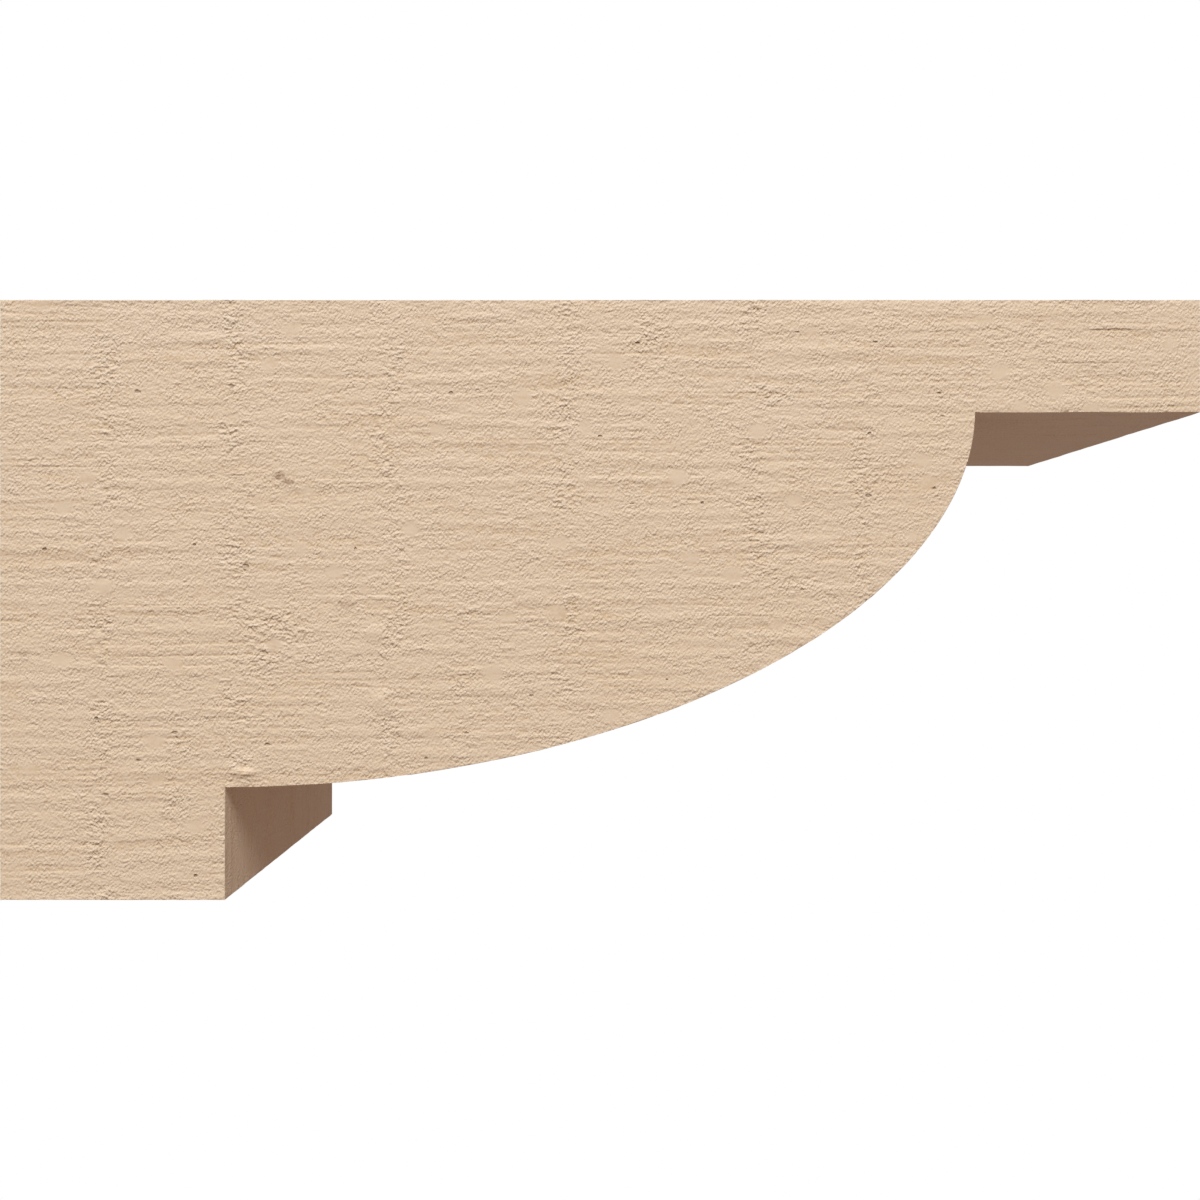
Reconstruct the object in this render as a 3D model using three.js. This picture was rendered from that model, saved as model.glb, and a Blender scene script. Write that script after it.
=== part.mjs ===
// A rough-sawn corbel, cast in one piece in rigid polyurethane foam.
//
// It is used under an eave or a shelf. The square back end is fixed to the wall, the flat top
// carries the soffit, and the body runs out from the wall as a long, shallow bracket. Below the
// top bar the underside is cut away in one big quarter curve, with a square step at each end:
// a block against the wall and a plain bar at the nose.
//
// The frame is in millimetres, with +Z up. The origin is the centre of the wall face, +X runs
// out from the wall, and Y runs across the body, which is the same on both sides of Y = 0.

import * as THREE from "three";

// Driving dimensions
const PROJECTION = 609.6; // from the wall face to the nose, 24 inches
const HEIGHT = PROJECTION / 2; // of the wall face
const WIDTH = PROJECTION / 3; // across the body
const STEP = 3 / 16; // share of the projection and of the height that each square step takes
const FLATNESS = 1.946; // exponent of the quarter curve: 2 is a true ellipse, less is flatter
const ARRIS = 1.2; // width of the eased edge round both side faces
const CURVE_SEGMENTS = 64; // straight facets along the quarter curve

// Sizes that follow from them
const TOP = HEIGHT / 2;
const BOTTOM = -HEIGHT / 2;
const BLOCK_DEPTH = PROJECTION * STEP; // of the block against the wall
const BAR_LENGTH = PROJECTION * STEP; // of the bar that shows at the nose
const BAR_THICKNESS = HEIGHT * STEP;
const BLOCK_DROP = HEIGHT * STEP; // how far the block hangs below the curve
const CURVE_RUN = PROJECTION - BLOCK_DEPTH - BAR_LENGTH;
const CURVE_RISE = HEIGHT - BAR_THICKNESS - BLOCK_DROP;

// A point on the quarter curve. At share 0 it is level, beside the wall block, and at share 1
// it is upright, where it meets the underside of the bar.
function curvePoint(share) {
  const angle = (share * Math.PI) / 2;
  const along = Math.sin(angle) ** (2 / FLATNESS);
  const down = Math.cos(angle) ** (2 / FLATNESS);
  return new THREE.Vector2(
    BLOCK_DEPTH + CURVE_RUN * along,
    TOP - BAR_THICKNESS - CURVE_RISE * down,
  );
}

// The side outline, drawn in the shape's X and Y, which become the part's X and Z.
function sideOutline() {
  const outline = new THREE.Shape();
  outline.moveTo(0, BOTTOM);
  outline.lineTo(BLOCK_DEPTH, BOTTOM);
  for (let i = 0; i <= CURVE_SEGMENTS; i++) {
    const point = curvePoint(i / CURVE_SEGMENTS);
    outline.lineTo(point.x, point.y);
  }
  outline.lineTo(PROJECTION, TOP - BAR_THICKNESS);
  outline.lineTo(PROJECTION, TOP);
  outline.lineTo(0, TOP);
  outline.closePath();
  return outline;
}

// The body is the outline carried straight across the width. The bevel eases the edges of the
// two side faces inwards, so that the outline keeps its full size between them.
function bodyGeometry() {
  return new THREE.ExtrudeGeometry(sideOutline(), {
    depth: WIDTH - 2 * ARRIS,
    steps: 1,
    bevelEnabled: true,
    bevelSegments: 1,
    bevelThickness: ARRIS,
    bevelSize: ARRIS,
    bevelOffset: -ARRIS,
  });
}

// Tan primer over the foam, dull and without any metal in it.
function primedFoam() {
  return new THREE.MeshStandardMaterial({
    color: new THREE.Color(0.665, 0.509, 0.366),
    roughness: 0.82,
    metalness: 0,
  });
}

const body = new THREE.Mesh(bodyGeometry(), primedFoam());
body.name = "corbel_body";
// Turned so that the outline stands upright and its thickness lies along Y, centred on Y = 0.
body.rotation.x = Math.PI / 2;
body.position.y = WIDTH / 2 - ARRIS;

const corbel = new THREE.Group();
corbel.add(body);

export default corbel;
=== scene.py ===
# %% [markdown]
# # A rough-sawn corbel in cast foam
#
# This lesson dresses one part: a long, shallow corbel that is fixed under an eave. The real
# piece is poured in one go in a mould that was taken from a rough-sawn timber, and then sprayed
# with a dull tan primer. So there is one solid thing to make, and all of its character is in
# the skin: saw ridges along the length, upright chatter where the blade stopped and started,
# small lumps, pits and torn fibres.
#
# The order is: the frame, the camera, the studio, the body, its sawn relief, and its finish.

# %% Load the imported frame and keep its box
import math

import bpy
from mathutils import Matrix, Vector


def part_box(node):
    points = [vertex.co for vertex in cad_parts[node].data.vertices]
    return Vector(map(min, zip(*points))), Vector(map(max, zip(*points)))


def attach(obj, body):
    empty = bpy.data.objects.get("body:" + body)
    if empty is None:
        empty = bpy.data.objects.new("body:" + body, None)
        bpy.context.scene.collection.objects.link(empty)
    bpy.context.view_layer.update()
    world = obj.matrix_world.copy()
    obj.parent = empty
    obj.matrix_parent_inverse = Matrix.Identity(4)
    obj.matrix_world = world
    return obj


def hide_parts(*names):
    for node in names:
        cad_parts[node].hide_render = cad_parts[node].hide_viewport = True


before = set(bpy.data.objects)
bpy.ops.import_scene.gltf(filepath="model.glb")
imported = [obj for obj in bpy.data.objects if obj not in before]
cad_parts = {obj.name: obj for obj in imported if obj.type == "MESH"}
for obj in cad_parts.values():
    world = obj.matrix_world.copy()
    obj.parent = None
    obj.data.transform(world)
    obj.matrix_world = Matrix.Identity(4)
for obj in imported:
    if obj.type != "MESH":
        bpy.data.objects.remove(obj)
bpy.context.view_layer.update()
low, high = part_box("corbel_body")
PROJECTION, WIDTH, HEIGHT = high - low
print(f"corbel {PROJECTION:.4f} x {WIDTH:.4f} x {HEIGHT:.4f} m")

# %% [markdown]
# ## The camera
#
# The side of the corbel fills the picture from edge to edge and its outline isn't skewed at
# all, so the camera looks square at the side, level with the middle of the wall face. How much
# of the far side shows under the bar and behind the block then fixes the distance: the far
# outline is 0.716 times the size of the near one. A lens follows from the distance and from the
# width that has to fit.

# %% Place the camera
FAR_TO_NEAR = 0.7156  # size of the far outline over the near one
FRAME_FILL = 1198.9 / 1200  # share of the picture's width that the near outline takes
ARRIS = 0.0007  # the outline that shows lies this far behind each side face

outline_depth = WIDTH - 2 * ARRIS
distance = outline_depth * FAR_TO_NEAR / (1 - FAR_TO_NEAR)
camera_data = bpy.data.cameras.new("camera")
camera_data.sensor_width = 36.0
camera_data.lens = camera_data.sensor_width * distance * FRAME_FILL / PROJECTION
camera_data.clip_end = 50.0
camera = bpy.data.objects.new("camera", camera_data)
bpy.context.collection.objects.link(camera)
camera.location = (PROJECTION / 2, -WIDTH / 2 + ARRIS - distance, 0.0)
camera.rotation_euler = (math.radians(90), 0.0, 0.0)
bpy.context.scene.camera = camera
print(f"camera {distance:.3f} m from the outline, lens {camera_data.lens:.2f} mm")

# %% [markdown]
# ## The studio
#
# A catalogue picture of a hanging part is lit from the front and above, against nothing but
# white. A floor and a wall could be white card, but card throws light up under the bar, where
# the real picture is dark. So both sheets glow evenly and are left out of the bounced light.

# %% Lay the floor and stand the backdrop
FLOOR_DROP = 0.75  # below the middle of the part
FLOOR_REACH = 30.0
BACKDROP_RADIUS = 24.0
BACKDROP_HEIGHT = 40.0

bpy.ops.mesh.primitive_plane_add(size=2 * FLOOR_REACH, location=(0, 0, -FLOOR_DROP))
floor = bpy.context.object
floor.name = "floor"
bpy.ops.mesh.primitive_cylinder_add(
    vertices=96, radius=BACKDROP_RADIUS, depth=BACKDROP_HEIGHT, end_fill_type="NOTHING"
)
backdrop = bpy.context.object
backdrop.name = "backdrop"
pale = bpy.data.materials.new("pale studio card")
pale.use_nodes = True
pale_shader = pale.node_tree.nodes["Principled BSDF"]
pale_shader.inputs["Base Color"].default_value = (0.0, 0.0, 0.0, 1)
pale_shader.inputs["Specular IOR Level"].default_value = 0.0
pale_shader.inputs["Emission Color"].default_value = (1.0, 1.0, 1.0, 1)
pale_shader.inputs["Emission Strength"].default_value = 1.0
for sheet in (floor, backdrop):
    sheet.data.materials.append(pale)
    sheet.visible_diffuse = False
    sheet.visible_glossy = False
    sheet.visible_shadow = False
print("floor and backdrop in place")

# %% [markdown]
# ## The lights
#
# The saw marks show because light rakes across the side from above. One long, shallow soft
# box does that: it is wide, so that no single upright mark throws a hard shadow, and shallow,
# so that every level one is drawn crisply. It is a little cooler than the air around it, which
# turns the furrows browner than the ridges. A second box lights the far side. It stands nearly
# level with the part, because from higher up it would wash out the top. A small warm one fills
# the underside.

# %% Hang the soft boxes
scene = bpy.context.scene
scene.view_settings.view_transform = "Standard"
scene.view_settings.look = "None"
LIGHT_REACH = 12.0  # metres from the middle of the part


def soft_box(name, towards, size, power, colour):
    """A soft box, wide by high, that shines on the middle of the part from that direction."""
    data = bpy.data.lights.new(name, "AREA")
    data.shape = "RECTANGLE"
    data.size, data.size_y = size
    data.energy = power
    data.color = colour
    light = bpy.data.objects.new(name, data)
    bpy.context.collection.objects.link(light)
    direction = Vector(towards).normalized()
    light.location = Vector((PROJECTION / 2, 0, 0)) + direction * LIGHT_REACH
    light.rotation_euler = direction.to_track_quat("Z", "Y").to_euler()
    print(f"{name}: {power:.0f} W")


COOL_WHITE = (0.90, 0.976, 1.0)
WARM_WHITE = (1.0, 0.74, 0.56)
soft_box("front key", (-0.08, -0.60, 0.80), (21.0, 4.8), 2690.0, COOL_WHITE)
soft_box("back key", (-0.34, 0.92, 0.17), (10.0, 4.0), 1080.0, COOL_WHITE)
soft_box("warm fill", (0.60, -0.25, -0.76), (6.0, 6.0), 72.0, WARM_WHITE)

# %% Fill the studio with soft air
WARM_AIR = (1.0, 0.80, 0.72, 1)
AIR_STRENGTH = 0.31
air_world = bpy.data.worlds.new("studio air")
scene.world = air_world
air_world.use_nodes = True
air = air_world.node_tree.nodes["Background"]
air.inputs["Color"].default_value = WARM_AIR
air.inputs["Strength"].default_value = AIR_STRENGTH
print(f"air: strength {AIR_STRENGTH}")

# %% [markdown]
# ## Node trees that read like formulas
#
# The body and its relief are both rules, so Geometry Nodes makes them, and the finish is a node
# tree too. A formula in nodes is a long chain of Math nodes. The small class below lets a
# socket be added, multiplied or compared like a number, so that each formula is written once
# and can be read.


# %% A socket that works like a number
class Value:
    """One output socket, with arithmetic that adds Math nodes to its tree."""

    def __init__(self, tree, socket):
        self.tree = tree
        self.socket = socket

    def __add__(self, other):
        return maths("ADD", self, other)

    def __radd__(self, other):
        return maths("ADD", other, self)

    def __sub__(self, other):
        return maths("SUBTRACT", self, other)

    def __rsub__(self, other):
        return maths("SUBTRACT", other, self)

    def __mul__(self, other):
        return maths("MULTIPLY", self, other)

    def __rmul__(self, other):
        return maths("MULTIPLY", other, self)

    def __truediv__(self, other):
        return maths("DIVIDE", self, other)

    def __rtruediv__(self, other):
        return maths("DIVIDE", other, self)

    def __pow__(self, other):
        return maths("POWER", self, other)

    def __lt__(self, other):
        return maths("LESS_THAN", self, other)

    def __gt__(self, other):
        return maths("GREATER_THAN", self, other)

    def __neg__(self):
        return maths("MULTIPLY", self, -1.0)


def feed(socket, term):
    """Links a Value to an input socket, or types a plain number into it."""
    if isinstance(term, Value):
        term.tree.links.new(term.socket, socket)
    else:
        socket.default_value = term


def maths(operation, *terms):
    """One Math node. Its terms are Values and numbers, and at least one is a Value."""
    tree = next(term.tree for term in terms if isinstance(term, Value))
    node = tree.nodes.new("ShaderNodeMath")
    node.operation = operation
    for socket, term in zip(node.inputs, terms):
        feed(socket, term)
    return Value(tree, node.outputs[0])


def blend(share, first, second):
    """first where share is 0 and second where it is 1."""
    return first + share * (second - first)


def ramp(term, start, end):
    """A smooth step from 0 at start to 1 at end."""
    node = term.tree.nodes.new("ShaderNodeMapRange")
    node.interpolation_type = "SMOOTHSTEP"
    feed(node.inputs["Value"], term)
    feed(node.inputs["From Min"], start)
    feed(node.inputs["From Max"], end)
    return Value(term.tree, node.outputs["Result"])


def combine(tree, x=0.0, y=0.0, z=0.0):
    """A vector from three terms."""
    node = tree.nodes.new("ShaderNodeCombineXYZ")
    for socket, term in zip(node.inputs, (x, y, z)):
        feed(socket, term)
    return Value(tree, node.outputs[0])


def split(tree, vector):
    """The three parts of a vector."""
    node = tree.nodes.new("ShaderNodeSeparateXYZ")
    feed(node.inputs[0], vector)
    return [Value(tree, socket) for socket in node.outputs]


def noise(tree, place, detail=0.0, roughness=0.5):
    """Smooth noise about zero, one bump to each unit of place."""
    node = tree.nodes.new("ShaderNodeTexNoise")
    node.noise_dimensions = "3D"
    feed(node.inputs["Vector"], place)
    node.inputs["Scale"].default_value = 1.0
    node.inputs["Detail"].default_value = detail
    node.inputs["Roughness"].default_value = roughness
    return (Value(tree, node.outputs[0]) - 0.5) * 2.0


# %% A geometry tree with named inputs
def geometry_tree(name, settings, takes_mesh):
    """A new Geometry Nodes tree. settings maps each input's name to its value."""
    tree = bpy.data.node_groups.new(name, "GeometryNodeTree")
    if takes_mesh:
        tree.interface.new_socket("Mesh", in_out="INPUT", socket_type="NodeSocketGeometry")
    kinds = {float: "NodeSocketFloat", int: "NodeSocketInt"}
    for label, value in settings.items():
        kind = kinds.get(type(value), "NodeSocketMaterial")
        tree.interface.new_socket(label, in_out="INPUT", socket_type=kind)
    tree.interface.new_socket("Mesh", in_out="OUTPUT", socket_type="NodeSocketGeometry")
    entry = tree.nodes.new("NodeGroupInput")
    given = {socket.name: Value(tree, socket) for socket in entry.outputs if socket.name}
    return tree, given


def add_nodes_modifier(thing, tree, settings):
    """Puts the tree on the object and sets its inputs by their identifiers."""
    modifier = thing.modifiers.new(tree.name, "NODES")
    modifier.node_group = tree
    for item in tree.interface.items_tree:
        if item.in_out == "INPUT" and item.name in settings:
            modifier[item.identifier] = settings[item.name]
    return modifier


def step(tree, kind, mesh=None, **inputs):
    """Adds one node by its type. Underscores in an input's name stand for spaces."""
    node = tree.nodes.new(kind)
    if mesh is not None:
        feed(node.inputs[0], mesh)
    for label, term in inputs.items():
        feed(node.inputs[label.replace("_", " ")], term)
    return node


def mesh_of(node):
    """The geometry that a node gives."""
    return Value(node.id_data, node.outputs[0])


# %% [markdown]
# ## The body
#
# The outline is one rule: a rectangle twice as long as it is high, with a step of 3/16 of its
# length and height at each end of a flattened quarter curve. It could be drawn as a profile
# and extruded, but that gives two huge side faces, and the sawn relief needs small cells. So
# the tree starts from a flat grid whose lines land exactly on those steps. It cuts away the
# cells outside the outline, pulls the stepped edge of the grid onto the curve, and pushes the
# sheet across the width in short strips.

# %% Choose the body's sizes
STEP_SHARE = 3 / 16
FLATNESS = 1.946  # 2 is a true ellipse, and 1 is a straight slope
COLUMNS = 240  # both are multiples of 16, so that the steps land on a line of the grid
ROWS = 176
STRIPS_ACROSS = 32
body_sizes = {
    "Projection": float(PROJECTION),
    "Height": float(HEIGHT),
    "Width": float(WIDTH),
    "Step share": STEP_SHARE,
    "Flatness": FLATNESS,
    "Columns": COLUMNS,
    "Rows": ROWS,
    "Strips": STRIPS_ACROSS,
}
body_tree, given = geometry_tree("Corbel body", body_sizes, takes_mesh=False)
print(f"cells of {PROJECTION / COLUMNS * 1000:.2f} x {HEIGHT / ROWS * 1000:.2f} mm")

# %% Cut the grid to the outline
columns, rows, share = given["Columns"], given["Rows"], given["Step share"]
grid = step(body_tree, "GeometryNodeMeshGrid", Size_X=columns, Size_Y=rows)
feed(grid.inputs["Vertices X"], columns + 1)
feed(grid.inputs["Vertices Y"], rows + 1)
place = Value(body_tree, body_tree.nodes.new("GeometryNodeInputPosition").outputs[0])
grid_x, grid_y, _ = split(body_tree, place)
along = (grid_x + columns / 2) / columns  # 0 at the wall, 1 at the nose
down = (rows / 2 - grid_y) / rows  # 0 at the top, 1 at the bottom
run_share = 1 - 2 * share
across_curve = (along - share) / run_share  # 0 at the block, 1 at the bar
down_curve = (down - share) / run_share
flatness = given["Flatness"]
across_part = maths("MAXIMUM", across_curve, 0.0) ** flatness
down_part = maths("MAXIMUM", down_curve, 0.0) ** flatness
reach = (across_part + down_part) ** (1 / flatness)  # 1 on the curve itself
in_block = along < share
in_bar = down < share
in_curve = reach < 1.0
outside = 1 - maths("MAXIMUM", maths("MAXIMUM", in_block, in_bar), in_curve)
cut = step(body_tree, "GeometryNodeDeleteGeometry", mesh_of(grid), Selection=outside)
cut.domain = "FACE"

# %% Pull the stepped edge onto the curve
A_HAIR = 0.0001  # keeps the corners of the two steps where they are
neighbours = body_tree.nodes.new("GeometryNodeInputMeshEdgeNeighbors")
on_edge = body_tree.nodes.new("GeometryNodeFieldOnDomain")
on_edge.domain = "EDGE"
feed(on_edge.inputs[0], Value(body_tree, neighbours.outputs[0]) < 1.5)  # one face only
is_border = Value(body_tree, on_edge.outputs[0]) > 0.01
beyond = (along > share + A_HAIR) * (down > share + A_HAIR)
pull = 1 / maths("MAXIMUM", reach, 0.001)  # never divides by nought
onto_curve = combine(
    body_tree,
    (share + across_curve * pull * run_share) * columns - columns / 2,
    rows / 2 - (share + down_curve * pull * run_share) * rows,
    0.0,
)
snapped = step(
    body_tree, "GeometryNodeSetPosition", mesh_of(cut), Selection=is_border * beyond,
    Position=onto_curve,
)

# %% Stand it up as the side face and push it across the width
WELD = 0.00002  # metres: points nearer than this become one
length, height, width = given["Projection"], given["Height"], given["Width"]
upright = combine(body_tree, along * length, width * -0.5, (0.5 - down) * height)
side = step(body_tree, "GeometryNodeSetPosition", mesh_of(snapped), Position=upright)
turned = step(body_tree, "GeometryNodeFlipFaces", mesh_of(side))
repeat_in = body_tree.nodes.new("GeometryNodeRepeatInput")
repeat_out = body_tree.nodes.new("GeometryNodeRepeatOutput")
repeat_in.pair_with_output(repeat_out)
repeat_out.repeat_items.new("BOOLEAN", "Top")
feed(repeat_in.inputs["Iterations"], given["Strips"])
feed(repeat_in.inputs["Geometry"], mesh_of(turned))
repeat_in.inputs["Top"].default_value = True
push = body_tree.nodes.new("GeometryNodeExtrudeMesh")
push.mode = "FACES"
push.inputs["Individual"].default_value = False
feed(push.inputs["Mesh"], Value(body_tree, repeat_in.outputs["Geometry"]))
feed(push.inputs["Selection"], Value(body_tree, repeat_in.outputs["Top"]))
push.inputs["Offset"].default_value = (0.0, 1.0, 0.0)
feed(push.inputs["Offset Scale"], width / given["Strips"])
feed(repeat_out.inputs["Geometry"], Value(body_tree, push.outputs["Mesh"]))
feed(repeat_out.inputs["Top"], Value(body_tree, push.outputs["Top"]))
both = body_tree.nodes.new("GeometryNodeJoinGeometry")
feed(both.inputs[0], mesh_of(side))
feed(both.inputs[0], Value(body_tree, repeat_out.outputs["Geometry"]))
closed = step(body_tree, "GeometryNodeMergeByDistance", mesh_of(both), Distance=WELD)
body_out = body_tree.nodes.new("NodeGroupOutput")
feed(body_out.inputs[0], mesh_of(closed))
print(f"body tree has {len(body_tree.nodes)} nodes")

# %% Put the tree on an object and ease its edges
EASED = 0.0003  # the edges of a fresh casting are crisp
SHARP_CORNER = math.radians(60)  # only corners sharper than this are eased
corbel = bpy.data.objects.new("sawn_corbel", bpy.data.meshes.new("corbel"))
bpy.context.collection.objects.link(corbel)
add_nodes_modifier(corbel, body_tree, body_sizes)
easing = corbel.modifiers.new("eased arris", "BEVEL")
easing.width = EASED
easing.segments = 2
easing.limit_method = "ANGLE"
easing.angle_limit = SHARP_CORNER
easing.use_clamp_overlap = False
print(f"edges eased by {EASED * 1000:.1f} mm")

# %% [markdown]
# ## The sawn relief
#
# Two things make the surface of the real piece. The broad part can be felt: long ridges that
# the saw left, rougher bands of chatter where the blade jumped, patches of torn grain, and a
# few lumps. That part moves the mesh, so it shows in the outline. The fine part is too small
# for a sensible mesh: torn fibres, pits and nicks a millimetre or two across, and even ridges a
# sixth of a millimetre high. It goes into the finish as a bump. A displacement texture could do
# the first part, but a node tree can read which face it is on and follow the grain round the
# corner.

# %% Read along and across the grain
relief_settings = {
    "Ridge depth": 0.00019,
    "Ridge spacing": 0.0055,
    "Ridge length": 0.045,
    "Kerf depth": 0.00017,
    "Chatter depth": 0.0004,
    "Lump depth": 0.00012,
    "Seed": 7.0,
    "Finish": bpy.data.materials.new("primed foam"),
}
relief_tree, given = geometry_tree("Sawn relief", relief_settings, takes_mesh=True)
print(f"ridges {relief_settings['Ridge spacing'] * 1000:.1f} mm apart, give or take")
place = Value(relief_tree, relief_tree.nodes.new("GeometryNodeInputPosition").outputs[0])
facing = Value(relief_tree, relief_tree.nodes.new("GeometryNodeInputNormal").outputs[0])
px, py, pz = split(relief_tree, place)
nx, ny, nz = split(relief_tree, facing)
on_side = ramp(maths("ABSOLUTE", ny), 0.6, 0.9)  # 1 on both sides, 0 on the other faces
grain_along = blend(on_side, px + pz, px)
grain_across = blend(on_side, py, pz)
below_top = HEIGHT / 2 - pz

# %% Give each face its own grain, and the hidden faces less of it
face_seed = maths("ROUND", ny) * 3.7 + maths("ROUND", nz) * 1.9 + maths("ROUND", nx) * 5.3
seed = given["Seed"] + face_seed
near_face = ramp(-ny, 0.6, 0.9)
hidden = maths("MAXIMUM", ramp(nz, 0.7, 0.9), ramp(-nx, 0.7, 0.9))  # the top and the wall face
strength = 1 - 0.6 * hidden
print("hidden faces get 0.4 of the broad relief")


def grain_noise(along, across, shift, detail=0.0, roughness=0.5):
    """Noise with so many bumps to the metre along and across the grain."""
    spot = combine(relief_tree, grain_along * along, grain_across * across, seed + shift)
    return noise(relief_tree, spot, detail, roughness)


# %% Name the bands of chatter
# Metres: from the wall, where the band starts and ends below the top, and then its strength.
CHATTER = {
    "first": (0.0516, 0.010, 0.320, 0.9),
    "low between": (0.0902, 0.198, 0.320, 0.6),
    "second": (0.1200, -0.010, 0.320, 1.0),
    "third": (0.1990, -0.010, 0.320, 0.9),
    "short between": (0.2360, 0.140, 0.223, 0.5),
    "fourth": (0.2885, -0.010, 0.320, 0.9),
    "fifth": (0.3840, -0.010, 0.320, 0.9),
    "sixth": (0.4420, -0.010, 0.320, 0.7),
}

# %% Lay the bands, and count them to break the ridges there
WANDER = 0.004  # metres: how far the edge of a strip strays to either side
BAND_CORE = 0.003  # a band has its full strength this near its line
BAND_REACH = 0.0095  # and none this far off it
BAND_FADE = 0.01  # half the length over which a band fades in or out at its ends
wander = grain_noise(8, 30, 0) * WANDER
strip = 0.0  # how many bands lie between the wall and this place
torn = 0.0
for line, start, end, force in CHATTER.values():
    strip = (grain_along + wander > line) + strip
    off_line = maths("ABSOLUTE", grain_along + wander * 1.5 - line)  # bands stray further
    has_begun = ramp(below_top, start - BAND_FADE, start + BAND_FADE)
    has_ended = ramp(below_top, end - BAND_FADE, end + BAND_FADE)
    run = has_begun * (1 - has_ended)
    torn = maths("MAXIMUM", (1 - ramp(off_line, BAND_CORE, BAND_REACH)) * run * force, torn)
print(f"{len(CHATTER)} bands of chatter")

# %% Name the patches where the grain is torn
# Millimetres: from the wall, below the top, half the length and half the height.
TORN_PATCHES = {
    "below the notch": (138.0, 175.0, 24.0, 22.0),
    "top middle": (330.0, 20.0, 16.0, 15.0),
    "right of the fifth band": (395.0, 41.0, 13.0, 12.0),
    "above the curve": (404.0, 138.0, 15.0, 12.0),
    "on the bar": (517.0, 17.5, 22.0, 8.0),
}
MM = 0.001
RAGGED = 60  # turns the wander into a ragged rim, in shares of a patch's size


def reach_of(x, z, half_length, half_height):
    """How far this place is from a mark's middle, as a share of the mark's size."""
    return (((px - x) / half_length) ** 2.0 + ((pz - z) / half_height) ** 2.0) ** 0.5


for x, z, half_length, half_height in TORN_PATCHES.values():
    off_patch = reach_of(x * MM, HEIGHT / 2 - z * MM, half_length * MM, half_height * MM)
    patch = (1 - ramp(off_patch + wander * RAGGED, 0.5, 1.2)) * near_face
    torn = maths("MAXIMUM", patch, torn)
print(f"{len(TORN_PATCHES)} patches of torn grain")

# %% [markdown]
# ## The single marks
#
# Pits, nicks, cuts and lumps are what makes one casting differ from a plain pattern of noise.
# Each could be modelled as a small mesh of its own, but forty cuts in one skin would be hard to
# keep clean. So the marks are forty points that carry their size, their depth and how far they
# are painted dark, which is painted shade in the hollows and a brown tone on the flat patches,
# and every place on the skin asks for its nearest one. The tall ones then move the mesh, and
# the small ones are handed on to the finish.

# %% Name the marks on the near side
# Millimetres: from the wall, below the top, half the length, half the height and the depth,
# and then how far the mark is painted dark brown: painted shade in a hollow, a brown tone on a
# flat patch. A lump stands out, so its depth is negative.
MARKS = {
    "brown gouge": (142.0, 89.7, 5.2, 2.5, 0.3, 0.8),
    "brown gouge below": (145.4, 92.6, 5.4, 2.3, 0.3, 0.75),
    "crack": (120.5, 89.2, 8.0, 0.75, 0.26, 0.35),
    "torn notch": (124.9, 135.6, 2.1, 2.4, 0.8, 0.5),
    "round pit": (98.9, 124.3, 1.2, 1.1, 1.0, 0.9),
    "wall pit": (22.8, 126.6, 1.7, 1.0, 0.9, 0.8),
    "upper nick": (69.9, 46.6, 2.1, 1.5, 0.6, 0.55),
    "twin nick": (118.0, 44.0, 2.4, 1.6, 0.6, 0.5),
    "faint pit": (180.7, 126.4, 1.1, 1.0, 0.8, 0.7),
    "band nick": (229.5, 47.5, 1.8, 1.2, 0.6, 0.5),
    "middle pit": (356.6, 103.2, 1.3, 1.0, 0.9, 0.8),
    "middle scratch": (321.0, 103.5, 2.4, 0.8, 0.6, 0.6),
    "high pit": (324.0, 22.1, 1.4, 1.0, 0.7, 0.6),
    "centre pit": (304.8, 69.4, 1.3, 1.0, 0.7, 0.6),
    "bar pit": (405.0, 16.5, 1.5, 1.0, 0.7, 0.6),
    "bar nick": (444.6, 21.6, 2.0, 1.0, 0.6, 0.5),
    "bar cut": (477.6, 47.5, 2.4, 1.0, 0.6, 0.5),
    "bar cut below": (478.7, 59.2, 1.5, 1.0, 0.6, 0.5),
    "curve nick": (474.6, 95.8, 1.8, 1.2, 0.7, 0.6),
    "curve cut": (441.1, 99.4, 2.4, 1.0, 0.7, 0.6),
    "curve pit": (441.6, 67.9, 1.4, 1.0, 0.7, 0.6),
    "low pit": (49.0, 212.8, 1.7, 1.1, 0.7, 0.6),
    "low nick": (88.7, 219.9, 2.1, 1.2, 0.6, 0.5),
    "low cut": (136.0, 226.0, 2.4, 1.2, 0.6, 0.4),
    "foot cut": (53.6, 251.4, 2.4, 1.5, 0.6, 0.5),
    "foot pit": (99.4, 292.6, 1.5, 1.1, 0.8, 0.7),
    "foot nick": (70.4, 234.1, 1.8, 1.0, 0.6, 0.5),
    "arch nick": (269.7, 201.1, 1.6, 1.0, 0.6, 0.5),
    "arch cut": (237.2, 219.9, 2.0, 1.1, 0.6, 0.5),
    "arch pit": (338.9, 193.0, 1.3, 1.0, 0.7, 0.6),
    "arch scratch": (216.3, 233.1, 2.0, 1.0, 0.6, 0.5),
    "brown patch": (176.0, 155.2, 8.5, 2.4, 0.12, 0.45),
    "wall patch": (12.4, 179.7, 5.0, 2.2, 0.10, 0.35),
    "smooth lump": (194.0, 204.5, 7.5, 9.0, -0.8, 0.0),
    "raised lump": (124.2, 240.0, 8.8, 3.3, -1.4, 0.0),
    "upper arc": (191.0, 151.3, 8.5, 1.6, -0.22, 0.0),
    "lower arc": (193.0, 158.8, 8.0, 1.8, -0.22, 0.0),
    "pale bulge": (190.7, 169.5, 8.0, 5.2, -0.7, 0.0),
    "bar groove": (566.0, 15.3, 22.0, 0.9, 0.22, 0.30),
    "bar groove below": (553.0, 32.2, 24.0, 0.9, 0.18, 0.22),
}
marks_mesh = bpy.data.meshes.new("marks")
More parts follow.
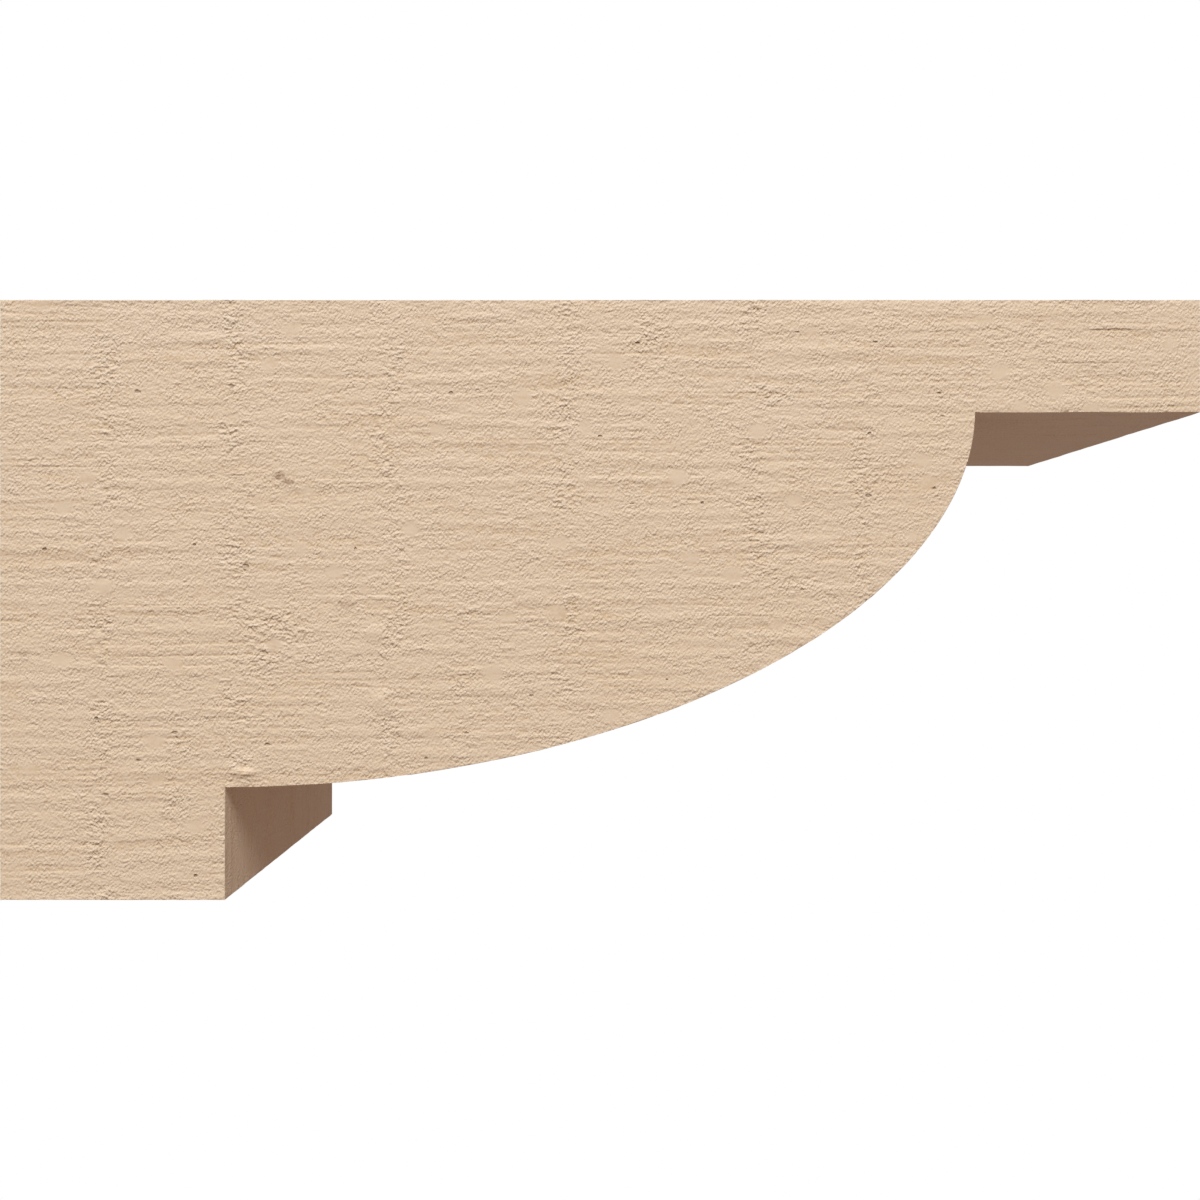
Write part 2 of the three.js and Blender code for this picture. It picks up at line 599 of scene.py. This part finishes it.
marks_mesh.from_pydata(
    [(x * MM, -WIDTH / 2, HEIGHT / 2 - z * MM) for x, z, *_ in MARKS.values()], [], []
)
mark_size = marks_mesh.attributes.new("mark size", "FLOAT_VECTOR", "POINT")
mark_shade_and_tone = marks_mesh.attributes.new("mark shade and tone", "FLOAT_VECTOR", "POINT")
# brown: how far the mark is painted dark, as painted shade in a hollow and a brown tone on a
# flat patch.
for index, (_, _, half_length, half_height, depth, brown) in enumerate(MARKS.values()):
    mark_size.data[index].vector = (half_length * MM, half_height * MM, depth * MM)
    mark_shade_and_tone.data[index].vector = (brown, 0.0, 0.0)
marks = bpy.data.objects.new("marks", marks_mesh)
bpy.context.collection.objects.link(marks)
print(f"{len(MARKS)} named marks")

# %% Let every place find its nearest mark
marks_info = relief_tree.nodes.new("GeometryNodeObjectInfo")
marks_info.inputs["Object"].default_value = marks
mark_points = Value(relief_tree, marks_info.outputs["Geometry"])
nearest = step(relief_tree, "GeometryNodeSampleNearest", mark_points)
feed(nearest.inputs["Sample Position"], place)


def of_nearest(value):
    """Three numbers of the nearest mark."""
    node = relief_tree.nodes.new("GeometryNodeSampleIndex")
    node.data_type = "FLOAT_VECTOR"
    feed(node.inputs["Geometry"], mark_points)
    feed(node.inputs["Value"], value)
    feed(node.inputs["Index"], Value(relief_tree, nearest.outputs[0]))
    return split(relief_tree, Value(relief_tree, node.outputs[0]))


def named(label):
    """A vector that the marks carry under that name."""
    node = relief_tree.nodes.new("GeometryNodeInputNamedAttribute")
    node.data_type = "FLOAT_VECTOR"
    node.inputs["Name"].default_value = label
    return Value(relief_tree, node.outputs[0])


mark_x, _, mark_z = of_nearest(place)
half_length, half_height, mark_depth = of_nearest(named("mark size"))
# brown: the share of painted shade in a hollow mark, and of brown tone on a flat patch.
brown, _, _ = of_nearest(named("mark shade and tone"))
from_mark = reach_of(mark_x, mark_z, half_length, half_height)
hollow = (1 - ramp(from_mark, 0.1, 1.15)) * mark_depth * near_face
BROAD = 0.0028  # half the height in metres past which the mesh carries a mark

# %% Add up the relief, with a shift at each band, so that no ridge runs through one
KERF_REACH = 9  # bumps to the metre along the grain
KERF_CLOSENESS = 1.15  # kerfs for each ridge
ridge_spot = combine(
    relief_tree,
    grain_along / given["Ridge length"],
    grain_across / given["Ridge spacing"] + strip * 3.3,
    seed + strip * 1.7,
)
kerf_spot = combine(
    relief_tree,
    grain_along * KERF_REACH,
    grain_across / given["Ridge spacing"] * KERF_CLOSENESS + strip * 5.1,
    seed + 60 + strip * 0.9,
)
relief = noise(relief_tree, ridge_spot, detail=1.0) * given["Ridge depth"]
relief = relief + noise(relief_tree, kerf_spot) * given["Kerf depth"]
relief = relief + grain_noise(160, 230, 20, detail=1.0) * torn * given["Chatter depth"]
relief = relief + grain_noise(45, 80, 40, detail=1.0) * given["Lump depth"]
relief = relief * strength - hollow * (half_height > BROAD)


# %% Keep on the mesh what the finish will need
def keep(mesh, label, kind, domain, value):
    """Stores a value on the mesh under that name."""
    node = relief_tree.nodes.new("GeometryNodeStoreNamedAttribute")
    node.data_type = kind
    node.domain = domain
    node.inputs["Name"].default_value = label
    feed(node.inputs["Geometry"], mesh)
    feed(node.inputs["Value"], value)
    return mesh_of(node)


grain_place = combine(relief_tree, grain_along, grain_across, 0.0)
skin = keep(given["Mesh"], "grain", "FLOAT2", "CORNER", grain_place)
skin = keep(skin, "torn", "FLOAT", "POINT", torn * strength)
mark_place = combine(relief_tree, mark_x, mark_z, mark_depth * near_face)
skin = keep(skin, "mark_place", "FLOAT_VECTOR", "FACE", mark_place)
# The third part is how far the finish paints the mark dark: painted shade in a hollow, a brown
# tone on a flat patch.
mark_shape = combine(relief_tree, half_length, half_height, brown * near_face)
skin = keep(skin, "mark_shape", "FLOAT_VECTOR", "FACE", mark_shape)

# %% Move the surface and set the finish
CRISP_BEND = math.radians(20)  # sharper bends stay crisp, or the eased edges would glow
push_out = relief_tree.nodes.new("ShaderNodeVectorMath")
push_out.operation = "SCALE"
feed(push_out.inputs[0], facing)
feed(push_out.inputs["Scale"], relief)
moved = step(relief_tree, "GeometryNodeSetPosition", skin)
feed(moved.inputs["Offset"], Value(relief_tree, push_out.outputs[0]))
smooth = step(relief_tree, "GeometryNodeSetShadeSmooth", mesh_of(moved))
bend = relief_tree.nodes.new("GeometryNodeInputMeshEdgeAngle")
is_crisp = Value(relief_tree, bend.outputs["Unsigned Angle"]) > CRISP_BEND
crisp = step(
    relief_tree, "GeometryNodeSetShadeSmooth", mesh_of(smooth),
    Selection=is_crisp, Shade_Smooth=False,
)
crisp.domain = "EDGE"
real = step(relief_tree, "GeometryNodeRealizeInstances", mesh_of(crisp))
painted = step(relief_tree, "GeometryNodeSetMaterial", mesh_of(real), Material=given["Finish"])
relief_out = relief_tree.nodes.new("NodeGroupOutput")
feed(relief_out.inputs[0], mesh_of(painted))
add_nodes_modifier(corbel, relief_tree, relief_settings)
print(f"relief tree has {len(relief_tree.nodes)} nodes")

# %% Turn the result into one plain mesh
depsgraph = bpy.context.evaluated_depsgraph_get()
sawn = bpy.data.meshes.new_from_object(corbel.evaluated_get(depsgraph))
sawn.name = "sawn corbel"
corbel.modifiers.clear()
corbel.data = sawn
bpy.data.objects.remove(marks)
sawn.calc_loop_triangles()
print(f"{len(sawn.vertices)} vertices, {len(sawn.loop_triangles)} triangles")

# %% [markdown]
# ## The finish
#
# The foam is sprayed with one coat of dull tan primer. From a step away it is one colour, and
# close up it shows faint clouds where it dried. The colour also carries painted light: a
# painted highlight makes it paler on the high fibres, painted shade makes it browner in the
# furrows, and each pit is a dark dot of painted shade. A photograph of timber could be wrapped
# round the part, but it would stretch at the corners. Noise that reads the grain coordinates
# runs true on every face, and the same noise can drive the colour, the gloss and the bump, so
# that a furrow is low, painted in shade and dull all at once.

# %% Start the finish
finish = relief_settings["Finish"]
finish.use_nodes = True
paint_tree = finish.node_tree
shader = paint_tree.nodes["Principled BSDF"]
grain_map = paint_tree.nodes.new("ShaderNodeUVMap")
grain_map.uv_map = "grain"
u, v, _ = split(paint_tree, Value(paint_tree, grain_map.outputs[0]))
where = paint_tree.nodes.new("ShaderNodeTexCoord")
ox, oy, oz = split(paint_tree, Value(paint_tree, where.outputs["Object"]))


def paint_noise(along, across, shift, detail=0.0, roughness=0.5):
    """Noise at a place on the skin. The third part of the place sets the two sides apart."""
    spot = combine(paint_tree, along, across, oy * 10 + shift)
    return noise(paint_tree, spot, detail, roughness)


def kept(label):
    """The three numbers that the mesh keeps under that name."""
    node = paint_tree.nodes.new("ShaderNodeAttribute")
    node.attribute_name = label
    return split(paint_tree, Value(paint_tree, node.outputs["Vector"]))


# %% Fine grain: grit, short slanting strokes and level fibres
# The numbers after u and v are bumps to the metre, along and across the grain. The number
# after them only moves each noise to a place of its own.
GRIT_DEPTH = 0.00038
FIBRE_DEPTH = 0.00027
SLANT_COS, SLANT_SIN = 0.574, 0.819  # the strokes lie at 55 degrees to the grain
slant_along = u * SLANT_COS + v * SLANT_SIN
slant_across = v * SLANT_COS - u * SLANT_SIN
grit = paint_noise(u * 900, v * 720, 0, detail=1.0, roughness=0.35)
strokes = paint_noise(slant_along * 430, slant_across * 860, 4)
fine = grit * 0.72 + strokes * 0.42
fibres = paint_noise(u * 190, v * 310, 5, detail=1.0)
calm = ramp(paint_noise(u * 70, v * 110, 9), -0.5, 0.4)
grain = (fine * GRIT_DEPTH + fibres * FIBRE_DEPTH) * blend(calm, 0.65, 1.2)

# %% Smooth dabs, where the primer filled the grain
DAB_SMOOTH, DAB_EDGE = 0.10, 0.22  # reach of the smooth middle and of the soft edge
dabs = paint_tree.nodes.new("ShaderNodeTexVoronoi")
dabs.inputs["Scale"].default_value = 1.0
feed(dabs.inputs["Vector"], combine(paint_tree, u * 34, v * 40, oy * 12 + 3))
dab_reach = Value(paint_tree, dabs.outputs["Distance"])
off_dab = ramp(dab_reach + fine * 0.05, DAB_SMOOTH, DAB_EDGE)
print("dabs in place")

# %% Torn grain in the bands and patches
CLUMP_DEPTH = 0.00080
torn_here, _, _ = kept("torn")
clumps = paint_noise(u * 270, v * 350, 11, detail=1.0, roughness=0.6)
tearing = torn_here * ramp(paint_noise(u * 40, v * 38, 19), -0.5, 0.4)
grain = grain * (1 + tearing * 0.5) + clumps * tearing * CLUMP_DEPTH

# %% [markdown]
# ## Even ridges
#
# Between two bands the saw went on steadily and left ridges at an even distance, 8 to 12 mm
# apart. After each stop it started again at another pace, so every strip has its own distance,
# and few ridges meet across a band. In the half by the wall the distances are plain to see.
# Towards the nose the ridges are looser, and their distances are partly a guess. The ridges
# could move the mesh, but it has only five cells to a ridge, and a sixth of a millimetre
# doesn't show in the outline. So a wave across the grain raises the bump instead. It sways a
# little and fades in and out, because a perfect comb looks like a machined part.

# %% Even ridges: each strip between two bands was cut at its own pace
# Metres: how far from the wall the strip starts, and how far apart its ridges are.
STRIPS = {
    "wall": (-1.0, 0.00844),
    "second": (0.0516, 0.01053),
    "third": (0.1200, 0.00844),
    "fourth": (0.1990, 0.01053),
    "fifth": (0.2620, 0.00875),
    "sixth": (0.3810, 0.01220),
    "nose": (0.4420, 0.00760),
}
COMB_DEPTH = 0.00015
USUAL_SPACING = 0.0090  # ridges this far apart are COMB_DEPTH high, and wider ones higher
SWAY = 0.0009  # metres: how far a ridge strays up and down
SHARED_RIDGE = HEIGHT / 2 - 0.1355  # height of a ridge that all the strips have
spacing = 0.0
for start, pace in STRIPS.values():
    spacing = blend(u > start, spacing, pace)
sway = paint_noise(u * 9, v * 14, 21) * SWAY
turns = (v + sway - SHARED_RIDGE) / spacing
crest = maths("COSINE", turns * math.tau)
comb_shows = ramp(paint_noise(u * 12, v * 75, 23), -0.7, 0.4)
comb = ramp(crest, -0.5, 1.0) * comb_shows * (1 - torn_here * 0.6)
grain = grain + comb * COMB_DEPTH * (spacing / USUAL_SPACING) ** 2.0
print(f"{len(STRIPS)} strips of ridges")

# %% Fine saw lines that come and go
LINE_DEPTH = 0.00013
line_noise = paint_noise(u * 7, v * 185, 15)
line_shows = ramp(paint_noise(u * 18, v * 60, 17), -0.3, 0.35)
lines = (1 - ramp(maths("ABSOLUTE", line_noise), 0.0, 0.30)) * line_shows
grain = (grain - lines * LINE_DEPTH) * blend(off_dab, 0.15, 1.0)

# %% The small named marks: cut into the bump, while a lump only wears the grain down
WORN = 0.5  # share of the grain that a lump takes off
mark_x, mark_z, mark_depth = kept("mark_place")
# brown: the share of painted shade in a hollow mark, and of brown tone on a flat patch.
half_length, half_height, brown = kept("mark_shape")
ragged = paint_noise(u * 500, v * 500, 2) * 0.5
from_mark = (((ox - mark_x) / half_length) ** 2.0 + ((oz - mark_z) / half_height) ** 2.0) ** 0.5
in_mark = 1 - ramp(from_mark + ragged, 0.2, 0.95)
is_broad = half_height > BROAD
grain = grain * (1 - in_mark * is_broad * WORN) - in_mark * mark_depth * (1 - is_broad)

# %% Raise the bump
bump = paint_tree.nodes.new("ShaderNodeBump")
bump.inputs["Distance"].default_value = 1.0
bump.inputs["Strength"].default_value = 1.0
feed(bump.inputs["Height"], grain)
paint_tree.links.new(bump.outputs[0], shader.inputs["Normal"])


# %% Colour: clouds, painted shade in the furrows and pits, a brown tone on flat patches, and a painted highlight on the high spots
def mix_colour(share, first, second):
    """first where share is 0 and second where it is 1."""
    node = paint_tree.nodes.new("ShaderNodeMix")
    node.data_type = "RGBA"
    feed(node.inputs["Factor"], share)
    colour_sockets = node.inputs[6], node.inputs[7]
    for socket, colour in zip(colour_sockets, (first, second)):
        feed(socket, colour if isinstance(colour, Value) else (*colour, 1))
    return Value(paint_tree, node.outputs[2])


PRIMER = (0.682, 0.523, 0.378)
WARMER_PRIMER = (0.676, 0.511, 0.360)
# Painted shade: the colour that the furrows are painted, darker and browner, for the shade in
# them.
FURROW_SHADE = (0.600, 0.402, 0.225)
# Painted highlight: the paler colour that the high spots are painted, for the light they catch.
RAISED_HIGHLIGHT = (0.705, 0.572, 0.455)
# Painted shade: the dark brown that hollow marks are painted for the shade inside them, also
# used as a brown tone on flat patches.
PIT_SHADE_AND_TONE = (0.30, 0.18, 0.10)
clouds = paint_noise(u * 14, v * 26, 7, detail=2.0)
high_spots = ramp(fine + fibres * 0.7, 0.15, 0.9)
low_spots = ramp(lines * 0.5 - fine - fibres * 0.7 - clumps * tearing, 0.1, 0.9)
colour = mix_colour(ramp(clouds, -0.6, 0.6), PRIMER, WARMER_PRIMER)
# Painted shade: the low spots are painted darker and browner.
colour = mix_colour(low_spots * 0.5, colour, FURROW_SHADE)
# Painted highlight: the high spots are painted paler.
colour = mix_colour(high_spots * 0.4, colour, RAISED_HIGHLIGHT)
# Painted shade: each hollow mark is painted dark brown for the shade inside it, and a flat
# patch gets a brown tone.
colour = mix_colour(in_mark * brown, colour, PIT_SHADE_AND_TONE)
feed(shader.inputs["Base Color"], colour)

# %% Gloss: a dull coat, duller in the furrows
feed(shader.inputs["Roughness"], 0.62 + clouds * 0.05 + low_spots * 0.10)
shader.inputs["Specular IOR Level"].default_value = 0.5
print(f"finish has {len(paint_tree.nodes)} nodes")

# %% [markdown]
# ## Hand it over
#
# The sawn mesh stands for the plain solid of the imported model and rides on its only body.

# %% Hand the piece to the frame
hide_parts("corbel_body")
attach(corbel, "root")
print(f"{corbel.name} replaces corbel_body and rides on root")
